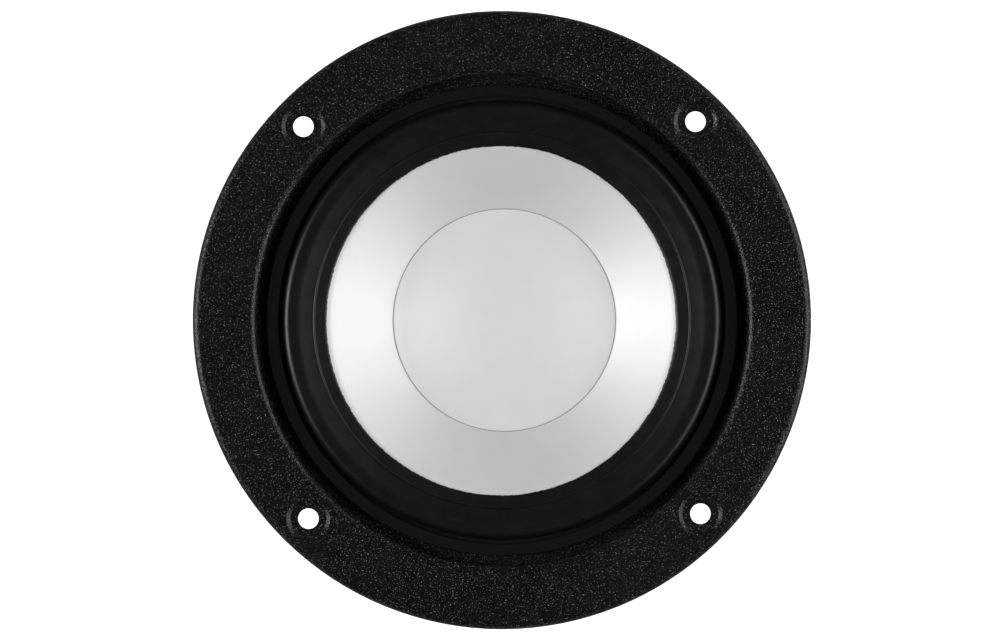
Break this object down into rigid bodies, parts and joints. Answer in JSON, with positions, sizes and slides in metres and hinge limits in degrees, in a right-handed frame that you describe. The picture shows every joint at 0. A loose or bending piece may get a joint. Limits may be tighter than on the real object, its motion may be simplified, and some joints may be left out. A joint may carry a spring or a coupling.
{
  "type": "car subwoofer speaker",
  "caption": "Round car bass speaker with a black bolted flange, rubber roll surround, silver cone and dust cap, on a vented ferrite magnet.",
  "frame": {"origin": "on the speaker's axis, at the back face of the yoke, where the speaker stands", "axes": "+Z along the axis, out of the front; -Y towards the terminals; the four bolt holes lie on the diagonals between X and Y"},
  "size_m": [0.15, 0.15, 0.072],
  "materials": {
    "textured_black_paint": "matte",
    "closed_cell_foam": "matte",
    "pressed_board": "matte",
    "zinc_plated_steel": "satin",
    "ferrite": "matte",
    "steel_mesh": "satin",
    "screw_zinc": "satin",
    "black_anodised_foil": "satin",
    "enamelled_copper": "gloss",
    "kraft_paper": "matte",
    "silver_cone": "satin",
    "silver_cap": "satin",
    "black_rubber": "satin",
    "spider_cloth": "matte",
    "phenolic_board": "satin",
    "tinned_brass": "satin",
    "rivet_steel": "satin",
    "solder": "satin",
    "tinsel_braid": "satin"
  },
  "bodies": {
    "frame": {"basket": "textured_black_paint", "rear_gasket": "closed_cell_foam", "clamp_ring": "pressed_board", "yoke": "zinc_plated_steel", "vent_screen": "steel_mesh", "magnet": "ferrite", "top_plate": "zinc_plated_steel", "basket_screws": "screw_zinc", "terminal_board": "phenolic_board", "terminal_positive": "tinned_brass", "terminal_negative": "tinned_brass", "board_rivets": "rivet_steel", "terminal_rivets": "rivet_steel"},
    "moving_assembly": {"cone": "silver_cone", "dust_cap": "silver_cap", "surround": "black_rubber", "spider": "spider_cloth", "coil_former": "black_anodised_foil", "coil_winding": "enamelled_copper", "former_collar": "kraft_paper", "coil_wires": "enamelled_copper", "solder_joints": "solder", "tinsel_lead_positive": "tinsel_braid", "tinsel_lead_negative": "tinsel_braid"}
  },
  "joints": [
    {"name": "cone_excursion", "type": "slide", "parent": "frame", "child": "moving_assembly", "axis": [0, 0, 1], "range_m": [-0.005, 0.005], "stiffness_N_per_m": 1600, "deforming": ["surround", "spider", "tinsel_lead_positive", "tinsel_lead_negative"]}
  ]
}
